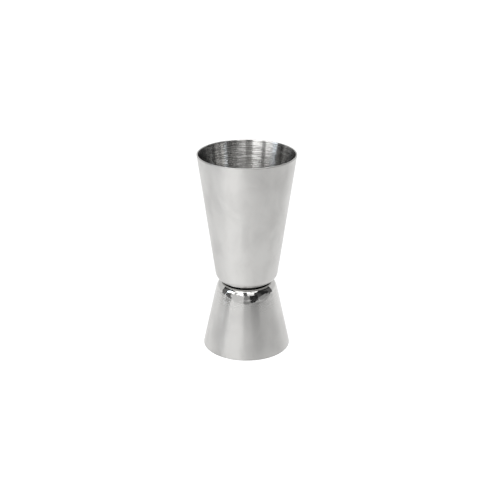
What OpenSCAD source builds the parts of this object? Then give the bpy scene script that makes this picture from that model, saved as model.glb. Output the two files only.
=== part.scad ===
// Bar jigger: two tapered cups drawn from steel sheet, set floor to floor and joined
// by spot welds. The small cup stands mouth down and is the foot; the large cup opens
// upwards. The origin is the middle of the small cup's rim, and +Z runs up the axis.

/* [Large cup] */
// Outside diameter of the large cup at its rim
large_rim_d = 43.2; // [40:0.1:46]
// Outside diameter of the large cup's wall where its taper meets the joint
large_foot_d = 26.9; // [25:0.1:29]
// Height of the large cup from the joint to its rim
large_h = 58.7; // [50:0.1:66]
// Outside radius of the corner between the large cup's wall and floor
large_corner_r = 4.4; // [2:0.1:5.5]

/* [Small cup] */
// Outside diameter of the small cup at its rim
small_rim_d = 39.3; // [36:0.1:42]
// Outside diameter of the small cup's wall where its taper meets the joint
small_foot_d = 25.9; // [24:0.1:28]
// Height of the small cup from its rim to the joint
small_h = 31.3; // [26:0.1:36]
// Outside radius of the corner between the small cup's wall and floor
small_corner_r = 3.8; // [2:0.1:5]

/* [Sheet] */
// Thickness of the steel sheet
sheet_t = 0.6; // [0.5:0.05:0.8]
// Radius that both edges of each rim are rounded to
rim_edge_r = 0.2; // [0.1:0.05:0.2]

/* [Spot welds] */
// Number of spot welds between the two floors
weld_count = 3; // [2:1:4]
// Diameter of the circle that the welds are spaced on
weld_circle_d = 9; // [8:0.5:10]
// Diameter of one weld
weld_d = 3; // [2:0.1:3.4]
// Depth that a weld reaches into each floor
weld_depth = 0.3; // [0.1:0.05:0.3]
// Diameter of the mark that the welding electrode leaves inside each cup
mark_d = 3.6; // [2.5:0.1:4]
// Depth of that mark
mark_depth = 0.08; // [0.04:0.01:0.1]

/* [Hidden] */

// Facets of round shapes: the cups' bodies, their corners, the rims' edges
body_fn = 180;
corner_fn = 96;
edge_fn = 32;

// The electrode's domed tip, from its mark's diameter and depth
tip_dome_r = (pow(mark_d / 2, 2) + pow(mark_depth, 2)) / (2 * mark_depth);
tip_d = mark_d + sheet_t;
weld_step = 360 / weld_count;

// Half the taper of a cup, in degrees
function taper(rim_r, foot_r, h) = atan((rim_r - foot_r) / h);

// Distance from the axis to the centre of the corner between wall and floor
function corner_x(foot_r, corner_r, a) =
    foot_r + corner_r * tan(a) - corner_r / cos(a);

// Distance from the axis to the centres of the rim's outer and inner edge radii
function outer_edge_x(rim_r, a) =
    rim_r - rim_edge_r * tan(a) - rim_edge_r / cos(a);
function inner_edge_x(rim_r, a) =
    rim_r - sheet_t / cos(a) - rim_edge_r * tan(a) + rim_edge_r / cos(a);

// Half section of a cup's outside: floor on y = 0, wall leaning out, rim at y = h
module outside_section(rim_r, foot_r, h, corner_r) {
    a = taper(rim_r, foot_r, h);
    cx = corner_x(foot_r, corner_r, a);
    ex = outer_edge_x(rim_r, a);
    polygon([
        [0, 0],
        [cx, 0],
        [cx + corner_r * cos(a), corner_r - corner_r * sin(a)],
        [ex + rim_edge_r * cos(a), h - rim_edge_r - rim_edge_r * sin(a)],
        [ex, h],
        [0, h]
    ]);
    translate([cx, corner_r])
        circle(r = corner_r, $fn = corner_fn);
    translate([ex, h - rim_edge_r])
        circle(r = rim_edge_r, $fn = edge_fn);
}

// Half section of the hollow: one sheet thickness inside the outside, open past the rim
module hollow_section(rim_r, foot_r, h, corner_r) {
    a = taper(rim_r, foot_r, h);
    cx = corner_x(foot_r, corner_r, a);
    ex = inner_edge_x(rim_r, a);
    inner_r = corner_r - sheet_t;
    polygon([
        [0, sheet_t],
        [cx, sheet_t],
        [cx + inner_r * cos(a), corner_r - inner_r * sin(a)],
        [ex - rim_edge_r * cos(a), h - rim_edge_r + rim_edge_r * sin(a)],
        [ex, h],
        [ex, h + sheet_t],
        [0, h + sheet_t]
    ]);
    translate([cx, corner_r])
        circle(r = inner_r, $fn = corner_fn);
}

// Half section of the sheet itself, with both edges of the rim rounded
module sheet_section(rim_r, foot_r, h, corner_r) {
    a = taper(rim_r, foot_r, h);
    difference() {
        outside_section(rim_r, foot_r, h, corner_r);
        hollow_section(rim_r, foot_r, h, corner_r);
    }
    translate([inner_edge_x(rim_r, a), h - rim_edge_r])
        circle(r = rim_edge_r, $fn = edge_fn);
}

// The weld at each place on the weld circle, reaching the same depth both ways
module weld_nuggets() {
    for (i = [0 : weld_count - 1])
        rotate([0, 0, i * weld_step])
            translate([weld_circle_d / 2, 0, -weld_depth])
                cylinder(d = weld_d, h = 2 * weld_depth, $fn = corner_fn);
}

// The electrode's tip at each weld: a shallow dome pressed into the floor's inside
module electrode_tips() {
    for (i = [0 : weld_count - 1])
        rotate([0, 0, i * weld_step])
            translate([weld_circle_d / 2, 0, sheet_t - mark_depth])
                intersection() {
                    cylinder(d = tip_d, h = sheet_t, $fn = corner_fn);
                    translate([0, 0, tip_dome_r])
                        sphere(r = tip_dome_r, $fn = body_fn);
                }
}

// One cup with its floor's outside on z = 0 and its mouth up
module cup(rim_r, foot_r, h, corner_r) {
    difference() {
        rotate_extrude($fn = body_fn)
            sheet_section(rim_r, foot_r, h, corner_r);
        weld_nuggets();
        electrode_tips();
    }
}

module large_cup() {
    color("gainsboro")
        translate([0, 0, small_h])
            cup(large_rim_d / 2, large_foot_d / 2, large_h, large_corner_r);
}

module small_cup() {
    color("silver")
        translate([0, 0, small_h])
            mirror([0, 0, 1])
                cup(small_rim_d / 2, small_foot_d / 2, small_h, small_corner_r);
}

module spot_welds() {
    color("dimgray")
        translate([0, 0, small_h])
            weld_nuggets();
}

large_cup();
small_cup();
spot_welds();
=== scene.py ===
import bpy
import bmesh
from math import atan, ceil, cos, pi, radians, sin, tan
from mathutils import Matrix, Vector


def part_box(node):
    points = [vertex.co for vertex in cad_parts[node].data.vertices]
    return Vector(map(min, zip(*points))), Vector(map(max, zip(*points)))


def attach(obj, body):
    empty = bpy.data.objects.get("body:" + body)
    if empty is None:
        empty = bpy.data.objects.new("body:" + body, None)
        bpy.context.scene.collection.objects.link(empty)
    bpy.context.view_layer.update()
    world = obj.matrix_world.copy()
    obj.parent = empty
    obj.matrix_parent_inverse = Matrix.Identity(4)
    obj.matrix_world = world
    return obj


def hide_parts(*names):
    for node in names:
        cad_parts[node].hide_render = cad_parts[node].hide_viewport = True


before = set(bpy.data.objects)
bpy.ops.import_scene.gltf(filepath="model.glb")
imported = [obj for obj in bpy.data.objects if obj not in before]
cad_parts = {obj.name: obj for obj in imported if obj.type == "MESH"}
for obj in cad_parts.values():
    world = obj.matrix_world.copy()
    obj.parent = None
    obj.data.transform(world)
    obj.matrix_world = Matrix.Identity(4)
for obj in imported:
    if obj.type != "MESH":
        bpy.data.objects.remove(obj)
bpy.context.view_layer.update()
print("frame loaded:", sorted(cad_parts))

mm = 0.001
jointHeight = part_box("small_cup")[1].z    # where the two floors meet
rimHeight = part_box("large_cup")[1].z

sheet = {
    "thickness": 0.6 * mm,
    "rimRound": 0.2 * mm,        # both edges of a rim are rounded to this
    "rimSegments": 4,
    "rimSlack": 1.1,             # the level cut takes in points a little past the slanted edge
    "smoothAngle": 40,
    "sides": 192,
    "floorRing": 0.32 * mm,      # step between the rings of a floor, at most
}

largeCup = {
    "name": "large_cup_steel",
    "node": "large_cup",
    "rimRadius": 21.6 * mm,
    "footRadius": 13.45 * mm,    # where the taper would meet the joint
    "cornerReach": 3.83 * mm,    # how far the rounding runs up the wall
    "cornerFullness": 0.5,       # 0.5 is a true arc, more is a tighter corner with a longer run out
    "cornerSegments": 14,
    "height": rimHeight - jointHeight,
    "up": 1,
    "wallRows": 150,
}

smallCup = {
    "name": "small_cup_steel",
    "node": "small_cup",
    "rimRadius": 19.65 * mm,
    "footRadius": 12.95 * mm,
    "cornerReach": 6.0 * mm,
    "cornerFullness": 0.72,
    "cornerSegments": 40,
    "height": jointHeight,
    "up": -1,                    # stands mouth down
    "wallRows": 90,
    "lumps": {
        "inner": 8.5 * mm,       # the corner is lumpy outside this radius
        "reach": 6.2 * mm,
        "fade": 0.8 * mm,
        "size": 2.6 * mm,
        "depth": 0.16 * mm,
    },
}

welds = {
    "name": "weld_nugget",
    "node": "spot_welds",
    "count": 3,
    "circleRadius": 4.5 * mm,
    "radius": 1.5 * mm,
    "depth": 0.3 * mm,           # how far a nugget reaches into each floor
    "markRadius": 1.8 * mm,      # the electrode's mark inside each cup
    "markDepth": 0.08 * mm,
    "crown": 0.45,               # the lens's flat top, as a share of the radius
    "drops": (0.35, 0.55, 0.2, 0.55, 0.35),    # steps down the lens, as shares of the depth
    "swells": (1.75, 1.27, 1.0, 1 / 1.27, 1 / 1.75),
    "sides": 32,
    "grain": 0.5 * mm,
    "grainDepth": 0.02 * mm,
}


def deselectAll():
    if bpy.context.object and bpy.context.object.mode != "OBJECT":
        bpy.ops.object.mode_set(mode="OBJECT")
    bpy.ops.object.select_all(action="DESELECT")


def editMesh(mode):
    if bpy.context.object.mode != "EDIT":
        bpy.ops.object.mode_set(mode="EDIT")
    bpy.ops.mesh.select_mode(type=mode)
    bpy.ops.mesh.select_all(action="DESELECT")
    return bmesh.from_edit_mesh(bpy.context.object.data)


def pick(elements, test):
    for element in elements:
        if test(element):
            element.select_set(True)
    bmesh.update_edit_mesh(bpy.context.object.data)


def isLevel(edge, z=None):
    first, second = (v.co.z for v in edge.verts)
    return abs(first - second) < 1e-6 and (z is None or abs(first - z) < 1e-6)


def isRound(edge):
    return abs(edge.verts[0].co.xy.length - edge.verts[1].co.xy.length) < 1e-6


def applyModifier(kind, name, **settings):
    modifier = bpy.context.object.modifiers.new(name, kind)
    for setting, value in settings.items():
        setattr(modifier, setting, value)
    bpy.ops.object.modifier_apply(modifier=name)


def weldPlaces():
    turns = (2 * pi * number / welds["count"] for number in range(welds["count"]))
    return [Vector((cos(turn), sin(turn), 0)) * welds["circleRadius"] + Vector((0, 0, jointHeight))
            for turn in turns]


def dish(place, radius, depth):
    # presses a round hollow into the sheet's near face
    mesh = editMesh("VERT")
    pick(mesh.verts, lambda v: (v.co - place).length < 1e-5)
    bpy.ops.transform.translate(
        value=(0, 0, depth), use_proportional_edit=True, use_proportional_connected=True,
        proportional_edit_falloff="SPHERE", proportional_size=radius)


def beatCorner(lumps):
    # the corner is slightly lumpy, which breaks up what it reflects
    piece = bpy.context.object
    group = piece.vertex_groups.new(name="Corner")
    for point in piece.data.vertices:
        below = jointHeight - point.co.z
        outward = point.co.xy.length
        if outward > lumps["inner"] and below < lumps["reach"]:
            inside = min(outward - lumps["inner"], lumps["reach"] - below)
            group.add([point.index], min(1, inside / lumps["fade"]), "REPLACE")
    texture = bpy.data.textures.new("lumps", "CLOUDS")
    texture.noise_scale = lumps["size"]
    texture.noise_depth = 1
    applyModifier("DISPLACE", "Lumps", texture=texture, texture_coords="LOCAL", strength=lumps["depth"],
        mid_level=0.5, direction="NORMAL", vertex_group="Corner")
    piece.vertex_groups.remove(piece.vertex_groups["Corner"])


def drawCup(cup):
    up = cup["up"]
    rimZ = jointHeight + up * cup["height"]
    taper = atan((cup["rimRadius"] - cup["footRadius"]) / cup["height"])
    deselectAll()
    # the blank: a flat disc for the floor
    bpy.ops.mesh.primitive_circle_add(
        vertices=sheet["sides"], radius=cup["footRadius"], fill_type="NGON", location=(0, 0, 0))
    piece = bpy.context.object
    piece.name = cup["name"]
    bpy.ops.transform.translate(value=(0, 0, jointHeight))
    bpy.ops.object.transform_apply(location=True, rotation=True, scale=True)
    # drawn up into a tapered wall
    piece.data.materials.append(outsideSteel)
    piece.data.materials.append(insideSteel)
    mesh = editMesh("EDGE")
    pick(mesh.edges, lambda e: e.is_boundary)
    bpy.ops.mesh.extrude_edges_move(TRANSFORM_OT_translate={"value": (0, 0, up * cup["height"])})
    swell = cup["rimRadius"] / cup["footRadius"]
    bpy.ops.transform.resize(value=(swell, swell, 1), center_override=(0, 0, rimZ))
    # the corner, rounded as far back as its radius reaches
    mesh = editMesh("EDGE")
    pick(mesh.edges, lambda e: isLevel(e, jointHeight))
    bpy.ops.mesh.bevel(
        offset=cup["cornerReach"], offset_type="OFFSET",
        segments=cup["cornerSegments"], profile=cup["cornerFullness"])
    # rows up the wall, and rings in to the middle of the floor
    mesh = editMesh("EDGE")
    pick(mesh.edges, lambda e: not isLevel(e) and e.calc_length() > cup["height"] / 2)
    bpy.ops.mesh.subdivide(number_cuts=cup["wallRows"])
    mesh = editMesh("FACE")
    pick(mesh.faces, lambda f: len(f.verts) > 4)
    floorRadius = max(v.co.xy.length for f in mesh.faces if f.select for v in f.verts)
    toWelds = floorRadius - welds["circleRadius"]
    ring = toWelds / ceil(toWelds / sheet["floorRing"])    # so that one ring runs through the welds
    for step in range(int(floorRadius / ring) - 1):
        bpy.ops.mesh.inset(thickness=ring, use_even_offset=False)
    bpy.ops.mesh.poke()
    bpy.ops.mesh.select_all(action="SELECT")
    bpy.ops.mesh.remove_doubles(threshold=1e-7)
    bpy.ops.mesh.normals_make_consistent(inside=False)
    bpy.ops.object.mode_set(mode="OBJECT")
    if cup.get("lumps"):
        beatCorner(cup["lumps"])
    # the thickness of the sheet goes inwards
    applyModifier("SOLIDIFY", "Sheet", thickness=sheet["thickness"], offset=-1,
        use_even_offset=True, material_offset=1)
    for place in weldPlaces():
        dish(place, welds["radius"], welds["depth"] * up)
        inside = place + Vector((0, 0, sheet["thickness"] * up))
        dish(inside, welds["markRadius"], -welds["markDepth"] * up)
    # the rim is cut level and its edges are broken
    slanted = sheet["thickness"] * tan(taper) * sheet["rimSlack"]
    mesh = editMesh("VERT")
    pick(mesh.verts, lambda v: abs(v.co.z - rimZ) < slanted)
    bpy.ops.transform.resize(value=(1, 1, 0), center_override=(0, 0, rimZ))
    mesh = editMesh("EDGE")
    pick(mesh.edges, lambda e: isLevel(e, rimZ) and isRound(e))
    bpy.ops.mesh.bevel(
        offset=sheet["rimRound"], offset_type="OFFSET", segments=sheet["rimSegments"], profile=0.5)
    bpy.ops.object.mode_set(mode="OBJECT")
    bpy.ops.object.shade_smooth_by_angle(angle=radians(sheet["smoothAngle"]))
    print(piece.name, "drawn:", len(piece.data.vertices), "points")
    return piece


def formNuggets():
    # one lens of fused metal, copied to each weld
    deselectAll()
    bpy.ops.mesh.primitive_circle_add(
        vertices=welds["sides"], radius=welds["radius"] * welds["crown"], fill_type="NGON",
        location=(0, 0, welds["depth"]))
    first = bpy.context.object
    bpy.ops.object.transform_apply(location=True, rotation=True, scale=True)
    editMesh("FACE")
    bpy.ops.mesh.select_all(action="SELECT")
    for drop, swell in zip(welds["drops"], welds["swells"]):
        bpy.ops.mesh.extrude_region_move(
            TRANSFORM_OT_translate={"value": (0, 0, -drop * welds["depth"])})
        bpy.ops.transform.resize(value=(swell, swell, 1), center_override=(0, 0, 0))
    mesh = editMesh("EDGE")
    pick(mesh.edges, lambda e: e.is_boundary)
    bpy.ops.mesh.edge_face_add()
    bpy.ops.mesh.select_all(action="SELECT")
    bpy.ops.mesh.normals_make_consistent(inside=False)
    bpy.ops.object.mode_set(mode="OBJECT")
    applyModifier("SUBSURF", "Smooth", levels=2, render_levels=2)
    texture = bpy.data.textures.new("nugget_grain", "CLOUDS")
    texture.noise_scale = welds["grain"]
    applyModifier("DISPLACE", "Grain", texture=texture, texture_coords="LOCAL",
        strength=welds["grainDepth"], mid_level=1.0)
    bpy.ops.object.shade_smooth()
    nuggets = []
    for number, place in enumerate(weldPlaces(), 1):
        deselectAll()
        first.select_set(True)
        bpy.context.view_layer.objects.active = first
        bpy.ops.object.duplicate(linked=False)
        nugget = bpy.context.object
        nugget.name = "%s_%d" % (welds["name"], number)
        bpy.ops.transform.translate(value=place)
        bpy.ops.object.transform_apply(location=True, rotation=True, scale=True)
        nuggets.append(nugget)
    deselectAll()
    first.select_set(True)
    bpy.ops.object.delete()
    print("weld nuggets:", len(nuggets))
    return nuggets


def dress(piece, spec):
    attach(piece, "root")
    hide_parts(spec["node"])


def addNode(tree, kind, inputs={}, **settings):
    made = tree.nodes.new("ShaderNode" + kind)
    for setting, value in settings.items():
        setattr(made, setting, value)
    for key, value in inputs.items():
        if isinstance(value, bpy.types.NodeSocket):
            tree.links.new(value, made.inputs[key])
        else:
            made.inputs[key].default_value = value
    return made


def calculate(tree, operation, first, second=0.0, third=0.0):
    made = addNode(tree, "Math", {0: first, 1: second, 2: third}, operation=operation)
    return made.outputs["Value"]


def ramp(tree, value, fromMin, fromMax, toMin=0.0, toMax=1.0, smooth=True):
    made = addNode(tree, "MapRange", {
        "Value": value, "From Min": fromMin, "From Max": fromMax, "To Min": toMin, "To Max": toMax},
        interpolation_type="SMOOTHSTEP" if smooth else "LINEAR")
    return made.outputs["Result"]


def noise(tree, place, stretch, detail=2.0, roughness=0.5, distortion=0.0):
    stretched = addNode(tree, "VectorMath", {0: place, 1: stretch}, operation="MULTIPLY")
    made = addNode(tree, "TexNoise", {
        "Vector": stretched.outputs["Vector"], "Scale": 1.0, "Detail": detail,
        "Roughness": roughness, "Distortion": distortion})
    return made.outputs["Fac"]


def mixColor(tree, factor, first, second):
    made = tree.nodes.new("ShaderNodeMix")
    made.data_type = "RGBA"
    for socket, value in zip((made.inputs[0], made.inputs[6], made.inputs[7]), (factor, first, second)):
        if isinstance(value, bpy.types.NodeSocket):
            tree.links.new(value, socket)
        else:
            socket.default_value = value
    return made.outputs[2]


def startMaterial(name):
    material = bpy.data.materials.new(name)
    material.use_nodes = True
    tree = material.node_tree
    tree.nodes.clear()
    output = tree.nodes.new("ShaderNodeOutputMaterial")
    shader = tree.nodes.new("ShaderNodeBsdfPrincipled")
    tree.links.new(shader.outputs["BSDF"], output.inputs["Surface"])
    place = addNode(tree, "TexCoord").outputs["Object"]
    apart = addNode(tree, "SeparateXYZ", {"Vector": place})
    return material, tree, shader, place, apart.outputs


def brushAround(tree, shader, anisotropy):
    # the marks run round the cup, so the shine spreads up and down it
    tangent = addNode(tree, "Tangent", direction_type="RADIAL", axis="Z")
    tree.links.new(tangent.outputs["Tangent"], shader.inputs["Tangent"])
    shader.inputs["Anisotropic"].default_value = anisotropy
    shader.inputs["Anisotropic Rotation"].default_value = 0.25    # a quarter turn
    shader.inputs["Metallic"].default_value = 1.0


satin = {
    "color": (0.56, 0.555, 0.543, 1),
    "cloudColor": (0.505, 0.50, 0.49, 1),
    "cloudSize": 9 * mm,
    "cloudFlatness": 0.7,
    "cloudFrom": 0.35,
    "cloudTo": 0.7,
    "roughness": 0.36,
    "lighterRoughness": 0.26,    # near the small cup's corner, where the brush reaches less
    "lighterReach": 22 * mm,
    "cloudRoughness": 0.04,
    "anisotropy": 0.7,
    "lineHeight": 0.07 * mm,
    "lineLength": 9 * mm,
    "lineDepth": 0.0009 * mm,
    "lineRoughness": 0.08,
    "bandHeight": 0.6 * mm,
    "bandLength": 20 * mm,
    "bandDepth": 0.0012 * mm,
    "rimWear": 0.45 * mm,
    "rimColor": (0.40, 0.397, 0.39, 1),    # the cut edge is duller
    "rimRoughness": 0.2,         # added to the rest
}

polish = {
    "reach": 4.6 * mm,           # how far the polish runs down from the joint
    "lobes": 3,                  # places round the cup where it runs further
    "lobeReach": 1.3 * mm,
    "wander": 0.7 * mm,
    "wanderSize": 3.5 * mm,
    "fade": 0.35 * mm,
    "roughness": 0.10,
    "creviceShadeWidth": 0.5 * mm,            # painted shade: the dark line in the crevice, either side of the joint
    "creviceShadeSolid": 0.55,           # share of it that is full strength
    "creviceShadeColor": (0.03, 0.03, 0.03, 1),
}


def satinSteel():
    material, tree, shader, place, axes = startMaterial("satin_steel_outside")
    around = 1 / satin["lineLength"]
    fine = noise(tree, place, (around, around, 1 / satin["lineHeight"]), 3.0, 0.6)
    around = 1 / satin["bandLength"]
    band = noise(tree, place, (around, around, 1 / satin["bandHeight"]), 2.0, 0.5)
    around = 1 / satin["cloudSize"]
    cloud = noise(tree, place, (around, around, around * satin["cloudFlatness"]), 3.0, 0.55, 0.4)
    # the polished corner below the joint, with an uneven edge
    around = 1 / polish["wanderSize"]
    wander = noise(tree, place, (around, around, around), 2.0, 0.55)
    below = calculate(tree, "SUBTRACT", jointHeight, axes["Z"])
    pushed = calculate(tree, "MULTIPLY_ADD", calculate(tree, "SUBTRACT", wander, 0.5),
        polish["wander"] * 2, below)
    turn = calculate(tree, "ARCTAN2", axes["X"], calculate(tree, "MULTIPLY", axes["Y"], -1.0))
    lobe = calculate(tree, "COSINE", calculate(tree, "MULTIPLY", turn, polish["lobes"]))
    pushed = calculate(tree, "MULTIPLY_ADD", lobe, -polish["lobeReach"], pushed)
    inBand = ramp(tree, pushed, polish["reach"] + polish["fade"], polish["reach"] - polish["fade"])
    polished = calculate(tree, "MULTIPLY", inBand, calculate(tree, "GREATER_THAN", below, 0.0))
    # painted shade: a dark line along the crevice where the two corners meet
    crevice = ramp(tree, calculate(tree, "ABSOLUTE", below),
        polish["creviceShadeWidth"], polish["creviceShadeWidth"] * polish["creviceShadeSolid"])
    # both rims are duller where the cut edge was broken
    half = rimHeight / 2
    fromMiddle = calculate(tree, "ABSOLUTE", calculate(tree, "SUBTRACT", axes["Z"], half))
    worn = ramp(tree, fromMiddle, half - satin["rimWear"], half - satin["rimWear"] * 0.4)
    # but not on the flat top of the edge
    onTop = ramp(tree, fromMiddle, half - sheet["rimRound"] * 0.4, half - sheet["rimRound"] * 0.05)
    worn = calculate(tree, "MULTIPLY", worn, calculate(tree, "SUBTRACT", 1.0, onTop))
    clouded = mixColor(tree, ramp(tree, cloud, satin["cloudFrom"], satin["cloudTo"]),
        satin["color"], satin["cloudColor"])
    cleaned = mixColor(tree, polished, clouded, satin["color"])
    cleaned = mixColor(tree, worn, cleaned, satin["rimColor"])
    creviceShaded = mixColor(tree, crevice, cleaned, polish["creviceShadeColor"])
    tree.links.new(creviceShaded, shader.inputs["Base Color"])
    brushed = ramp(tree, below, polish["reach"], satin["lighterReach"], satin["lighterRoughness"],
        satin["roughness"], False)
    onSmall = calculate(tree, "GREATER_THAN", below, 0.0)
    brushed = calculate(tree, "MULTIPLY_ADD", calculate(tree, "SUBTRACT", brushed, satin["roughness"]),
        onSmall, satin["roughness"])
    rough = calculate(tree, "MULTIPLY_ADD", calculate(tree, "SUBTRACT", cloud, 0.5),
        satin["cloudRoughness"] * 2, brushed)
    rough = calculate(tree, "MULTIPLY_ADD", calculate(tree, "SUBTRACT", fine, 0.5),
        satin["lineRoughness"], rough)
    rough = calculate(tree, "MULTIPLY_ADD", worn, satin["rimRoughness"], rough)
    keep = calculate(tree, "SUBTRACT", 1.0, polished)
    rough = calculate(tree, "MULTIPLY_ADD", rough, keep,
        calculate(tree, "MULTIPLY", polished, polish["roughness"]))
    tree.links.new(rough, shader.inputs["Roughness"])
    broad = addNode(tree, "Bump", {"Strength": keep, "Distance": satin["bandDepth"], "Height": band})
    narrow = addNode(tree, "Bump", {
        "Strength": keep, "Distance": satin["lineDepth"], "Height": fine,
        "Normal": broad.outputs["Normal"]})
    tree.links.new(narrow.outputs["Normal"], shader.inputs["Normal"])
    brushAround(tree, shader, satin["anisotropy"])
    return material


turned = {
    "color": (0.72, 0.715, 0.705, 1),
    "lineShadeColor": (0.42, 0.415, 0.405, 1),
    "slantColor": (0.05, 0.05, 0.05, 1),    # stands in for marks that shade each other at a slant
    "slantStrength": 0.52,
    "slantFrom": 0.08,
    "slantTo": 0.5,
    "deepColor": (0.24, 0.237, 0.23, 1),    # duller further in
    "deepFrom": 18 * mm,
    "deepTo": 34 * mm,
    "roughness": 0.22,
    "anisotropy": 1.0,
    "waveHeight": 1.6 * mm,      # broad waves bend the reflections a little
    "waveLength": 9 * mm,
    "waveDepth": 0.03 * mm,
    "rippleHeight": 0.45 * mm,   # the marks that show as short level lines
    "rippleLength": 6 * mm,
    "rippleDepth": 0.008 * mm,
    "grooveHeight": 0.16 * mm,
    "grooveLength": 30 * mm,
    "grooveDepth": 0.0012 * mm,
    "grooveShare": 0.25,         # how much the grooves weigh in the painted shade lines, against the ripples
    "lineFrom": 0.42,
    "lineTo": 0.58,
    "grooveRoughness": 0.1,
    "heatRadius": 2.1 * mm,      # each weld leaves a faint ring of heat on the floor
    "heatWidth": 0.7 * mm,
    "heatStrength": 0.45,
    "heatColor": (0.40, 0.33, 0.24, 1),
}


def turnedSteel():
    material, tree, shader, place, axes = startMaterial("turned_steel_inside")
    # the tool's path: up the wall and across the floor
    flat = addNode(tree, "CombineXYZ", {"X": axes["X"], "Y": axes["Y"]})
    fromAxis = addNode(tree, "VectorMath", {0: flat.outputs["Vector"]}, operation="LENGTH")
    along = calculate(tree, "ADD", axes["Z"], fromAxis.outputs["Value"])
    path = addNode(tree, "CombineXYZ", {"X": axes["X"], "Y": axes["Y"], "Z": along}).outputs["Vector"]
    around = 1 / turned["waveLength"]
    wave = noise(tree, path, (around, around, 1 / turned["waveHeight"]), 1.0, 0.5)
    around = 1 / turned["rippleLength"]
    ripple = noise(tree, path, (around, around, 1 / turned["rippleHeight"]), 1.5, 0.5)
    around = 1 / turned["grooveLength"]
    groove = noise(tree, path, (around, around, 1 / turned["grooveHeight"]), 2.0, 0.6)
    ripples = calculate(tree, "MULTIPLY", ripple, 1 - turned["grooveShare"])
    lines = calculate(tree, "MULTIPLY_ADD", groove, turned["grooveShare"], ripples)
    # the turning marks are real; their dark lines are painted shade standing in for the shade in their
    # grooves
    shade = mixColor(tree, ramp(tree, lines, turned["lineFrom"], turned["lineTo"]),
        turned["color"], turned["lineShadeColor"])
    facing = addNode(tree, "LayerWeight", {"Blend": 0.5}).outputs["Facing"]
    slant = ramp(tree, facing, turned["slantFrom"], turned["slantTo"], 0.0, turned["slantStrength"], False)
    shade = mixColor(tree, slant, shade, turned["slantColor"])
    fromJoint = calculate(tree, "ABSOLUTE", calculate(tree, "SUBTRACT", axes["Z"], jointHeight))
    inward = calculate(tree, "SUBTRACT", rimHeight - jointHeight, fromJoint)
    deep = ramp(tree, inward, turned["deepFrom"], turned["deepTo"])
    shade = mixColor(tree, deep, shade, turned["deepColor"])
    nearest = 1.0
    for weld in weldPlaces():
        toWeld = addNode(tree, "VectorMath", {0: place, 1: weld}, operation="DISTANCE").outputs["Value"]
        nearest = calculate(tree, "MINIMUM", toWeld, nearest)
    offRing = calculate(tree, "ABSOLUTE", calculate(tree, "SUBTRACT", nearest, turned["heatRadius"]))
    heat = ramp(tree, offRing, turned["heatWidth"], 0.0, 0.0, turned["heatStrength"])
    shade = mixColor(tree, heat, shade, turned["heatColor"])
    tree.links.new(shade, shader.inputs["Base Color"])
    rough = calculate(tree, "MULTIPLY_ADD", calculate(tree, "SUBTRACT", groove, 0.5),
        turned["grooveRoughness"], turned["roughness"])
    tree.links.new(rough, shader.inputs["Roughness"])
    broad = addNode(tree, "Bump", {"Strength": 1.0, "Distance": turned["waveDepth"], "Height": wave})
    middle = addNode(tree, "Bump", {
        "Strength": 1.0, "Distance": turned["rippleDepth"], "Height": ripple,
        "Normal": broad.outputs["Normal"]})
    narrow = addNode(tree, "Bump", {
        "Strength": 1.0, "Distance": turned["grooveDepth"], "Height": groove,
        "Normal": middle.outputs["Normal"]})
    tree.links.new(narrow.outputs["Normal"], shader.inputs["Normal"])
    brushAround(tree, shader, turned["anisotropy"])
    return material


fused = {
    "color": (0.42, 0.41, 0.40, 1),
    "scaleColor": (0.24, 0.22, 0.21, 1),
    "scaleFrom": 0.35,           # how much of the grain is darkened by scale
    "scaleTo": 0.65,
    "roughness": 0.35,
    "scaleRoughness": 0.6,
    "grain": 0.3 * mm,
    "grainDepth": 0.01 * mm,
}


def fusedSteel():
    material, tree, shader, place, axes = startMaterial("fused_steel")
    around = 1 / fused["grain"]
    grain = noise(tree, place, (around, around, around), 4.0, 0.6)
    color = mixColor(tree, ramp(tree, grain, fused["scaleFrom"], fused["scaleTo"]),
        fused["color"], fused["scaleColor"])
    tree.links.new(color, shader.inputs["Base Color"])
    rough = ramp(tree, grain, 0.3, 0.7, fused["roughness"], fused["scaleRoughness"])
    tree.links.new(rough, shader.inputs["Roughness"])
    bump = addNode(tree, "Bump", {"Distance": fused["grainDepth"], "Height": grain})
    tree.links.new(bump.outputs["Normal"], shader.inputs["Normal"])
    shader.inputs["Metallic"].default_value = 1.0
    return material


outsideSteel = satinSteel()
insideSteel = turnedSteel()
nuggetSteel = fusedSteel()
largePiece = drawCup(largeCup)
smallPiece = drawCup(smallCup)
dress(largePiece, largeCup)
dress(smallPiece, smallCup)
for nugget in formNuggets():
    nugget.data.materials.append(nuggetSteel)
    dress(nugget, welds)

cameraPlace = {
    "target": Vector((0, 0, jointHeight)),
    "distance": 451 * mm,
    "elevation": 24.2,
    "lens": 72,
    "aimRight": 1.5 * mm,        # how far the aim sits from the target, across the view
    "aimUp": 12.85 * mm,
    "roll": 0.2,
    "near": 0.01,
    "far": 20,
}


def addCamera(place):
    tilt = radians(place["elevation"])
    ahead = Vector((0, cos(tilt), -sin(tilt)))
    right = Vector((1, 0, 0))
    above = right.cross(ahead)
    aim = place["target"] + right * place["aimRight"] + above * place["aimUp"]
    eye = place["target"] - ahead * place["distance"]
    deselectAll()
    bpy.ops.object.camera_add(location=eye)
    camera = bpy.context.object
    camera.name = "studio_camera"
    camera.data.lens = place["lens"]
    camera.data.clip_start = place["near"]
    camera.data.clip_end = place["far"]
    camera.data.dof.use_dof = False
    look = (aim - eye).to_track_quat("-Z", "Y").to_matrix()
    camera.rotation_euler = (look @ Matrix.Rotation(radians(place["roll"]), 3, "Z")).to_euler()
    bpy.context.scene.camera = camera


addCamera(cameraPlace)

studio = {
    "white": (1, 1, 1, 1),
    "floorSize": 6.0,
    "floorGlow": 1.12,
    "leftGlow": 0.22,            # painted light: the floor glows brighter in front of the left panels
    "leftFrom": 0.03,
    "leftTo": -0.07,
    "roomGlow": 0.03,            # what the steel sees of the room
    "boxSize": 0.7,              # a soft box straight above, to light the large cup's floor
    "boxHeight": 0.7,
    "boxGlow": 2.6,
}

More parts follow.
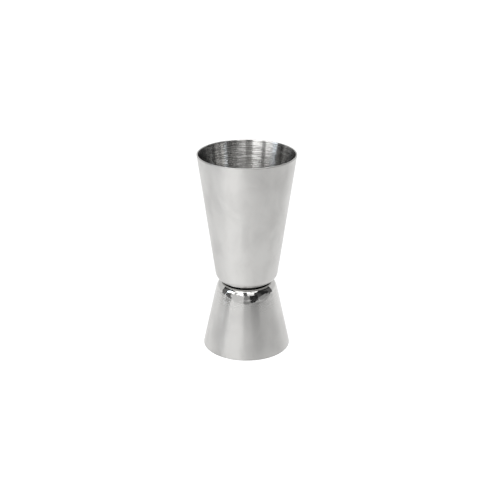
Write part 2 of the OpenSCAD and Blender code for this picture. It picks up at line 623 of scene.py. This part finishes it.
# where each panel begins and ends round the cup in degrees (0 faces the front, + is right), how
# far off it stands, the heights of its foot and top, and how bright it is
panels = {
    "left_panel": {"from": -38, "to": -14, "off": 0.6, "foot": 0, "top": 0.55, "glow": 2.8, "topGlow": 3.8},
    "left_seam": {"from": -48, "to": -38, "off": 0.6, "foot": 0, "top": 0.55, "glow": 0.8, "topGlow": 0.5},
    "far_left_panel": {"from": -66, "to": -48, "off": 0.6, "foot": 0, "top": 0.55, "glow": 3.6,
        "topGlow": 5},
    "cool_panel": {"from": -78, "to": -67, "off": 0.6, "foot": 0, "top": 0.55, "glow": 4.4,
        "topGlow": 6, "tint": (0.86, 0.93, 1.0, 1)},
    "front_gap": {"from": -13, "to": 3, "off": 0.6, "foot": 0, "top": 0.55, "glow": 0.15},
    "right_panel": {"from": 3, "to": 25, "off": 0.6, "foot": 0, "top": 0.55, "glow": 1.1, "topGlow": 1.35},
    "right_gap": {"from": 27, "to": 52, "off": 0.6, "foot": 0, "top": 0.55, "glow": 0.1},
    "left_top": {"from": -60, "to": -17, "off": 0.6, "foot": 0.55, "top": 1.2, "glow": 1.6},
    "right_top": {"from": 2, "to": 27, "off": 0.6, "foot": 0.55, "top": 1.2, "glow": 2.8},
    "left_card": {"from": -57, "to": -9, "off": 0.26, "foot": 0, "top": 0.12, "glow": 0.89},
    "low_card": {"from": -9, "to": 13, "off": 0.26, "foot": 0, "top": 0.11, "glow": 0.34},
    "black_flag": {"from": 13, "to": 43, "off": 0.26, "foot": 0, "top": 0.14, "glow": 0.03},
    "right_flag": {"from": 45, "to": 85, "off": 0.22, "foot": 0, "top": 0.05, "glow": 0.4},
    "left_flag": {"from": -76, "to": -57, "off": 0.22, "foot": 0, "top": 0.11, "glow": 0.14},
    "left_dark": {"from": -102, "to": -80, "off": 0.3, "foot": 0, "top": 0.3, "glow": 0.2},
    "right_dark": {"from": 85, "to": 108, "off": 0.3, "foot": 0, "top": 0.3, "glow": 0.14},
    "backdrop": {"from": 108, "to": 258, "off": 0.6, "foot": 0, "top": 1, "glow": 0.88},
}


def glowMaterial(name, glow, topGlow, tint):
    material = bpy.data.materials.new(name)
    material.use_nodes = True
    tree = material.node_tree
    tree.nodes.clear()
    output = tree.nodes.new("ShaderNodeOutputMaterial")
    place = addNode(tree, "TexCoord").outputs["Object"]
    height = addNode(tree, "SeparateXYZ", {"Vector": place}).outputs["Y"]
    strength = ramp(tree, height, -0.5, 0.5, glow, topGlow, False)
    light = addNode(tree, "Emission", {"Color": tint, "Strength": strength})
    tree.links.new(light.outputs["Emission"], output.inputs["Surface"])
    return material


def standPanel(name, panel):
    turn = radians((panel["from"] + panel["to"]) / 2)
    width = 2 * panel["off"] * tan(radians(panel["to"] - panel["from"]) / 2)
    deselectAll()
    bpy.ops.mesh.primitive_plane_add(size=1, location=(0, 0, 0))
    card = bpy.context.object
    card.name = name
    card.scale = (width, panel["top"] - panel["foot"], 1)
    card.rotation_euler = (pi / 2, 0, turn)
    middle = (panel["foot"] + panel["top"]) / 2
    card.location = (panel["off"] * sin(turn), -panel["off"] * cos(turn), middle)
    topGlow = panel.get("topGlow", panel["glow"])
    tint = panel.get("tint", studio["white"])
    card.data.materials.append(glowMaterial(name + "_glow", panel["glow"], topGlow, tint))
    card.visible_camera = False
    card.visible_shadow = False


def floorMaterial():
    material = bpy.data.materials.new("floor_white")
    material.use_nodes = True
    tree = material.node_tree
    tree.nodes.clear()
    output = tree.nodes.new("ShaderNodeOutputMaterial")
    place = addNode(tree, "TexCoord").outputs["Object"]
    axes = addNode(tree, "SeparateXYZ", {"Vector": place}).outputs
    # painted light: a brighter patch of floor in front of the left panels
    leftward = ramp(tree, axes["X"], studio["leftFrom"], studio["leftTo"])
    forward = ramp(tree, axes["Y"], -studio["leftTo"], studio["leftTo"])
    extra = calculate(tree, "MULTIPLY", calculate(tree, "MULTIPLY", leftward, forward), studio["leftGlow"])
    strength = calculate(tree, "ADD", extra, studio["floorGlow"])
    glow = addNode(tree, "Emission", {"Strength": strength})
    tree.links.new(glow.outputs["Emission"], output.inputs["Surface"])
    return material


def layFloor():
    deselectAll()
    bpy.ops.mesh.primitive_plane_add(size=studio["floorSize"], location=(0, 0, 0))
    floor = bpy.context.object
    floor.name = "studio_floor"
    floor.data.materials.append(floorMaterial())


def hangBox():
    deselectAll()
    bpy.ops.mesh.primitive_plane_add(size=studio["boxSize"], location=(0, 0, studio["boxHeight"]))
    box = bpy.context.object
    box.name = "soft_box"
    glow = glowMaterial("soft_box_glow", studio["boxGlow"], studio["boxGlow"], studio["white"])
    box.data.materials.append(glow)
    box.visible_camera = False
    box.visible_shadow = False


def lightRoom():
    world = bpy.data.worlds.new("studio_room")
    bpy.context.scene.world = world
    world.use_nodes = True
    tree = world.node_tree
    tree.nodes.clear()
    output = tree.nodes.new("ShaderNodeOutputWorld")
    path = addNode(tree, "LightPath")
    strength = ramp(tree, path.outputs["Is Camera Ray"], 0, 1,
        studio["roomGlow"], studio["floorGlow"], False)
    back = addNode(tree, "Background", {"Color": studio["white"], "Strength": strength})
    tree.links.new(back.outputs["Background"], output.inputs["Surface"])


layFloor()
hangBox()
lightRoom()
for name, panel in panels.items():
    standPanel(name, panel)
print("studio lit:", len(panels), "panels")
bpy.context.scene.view_settings.view_transform = "Standard"
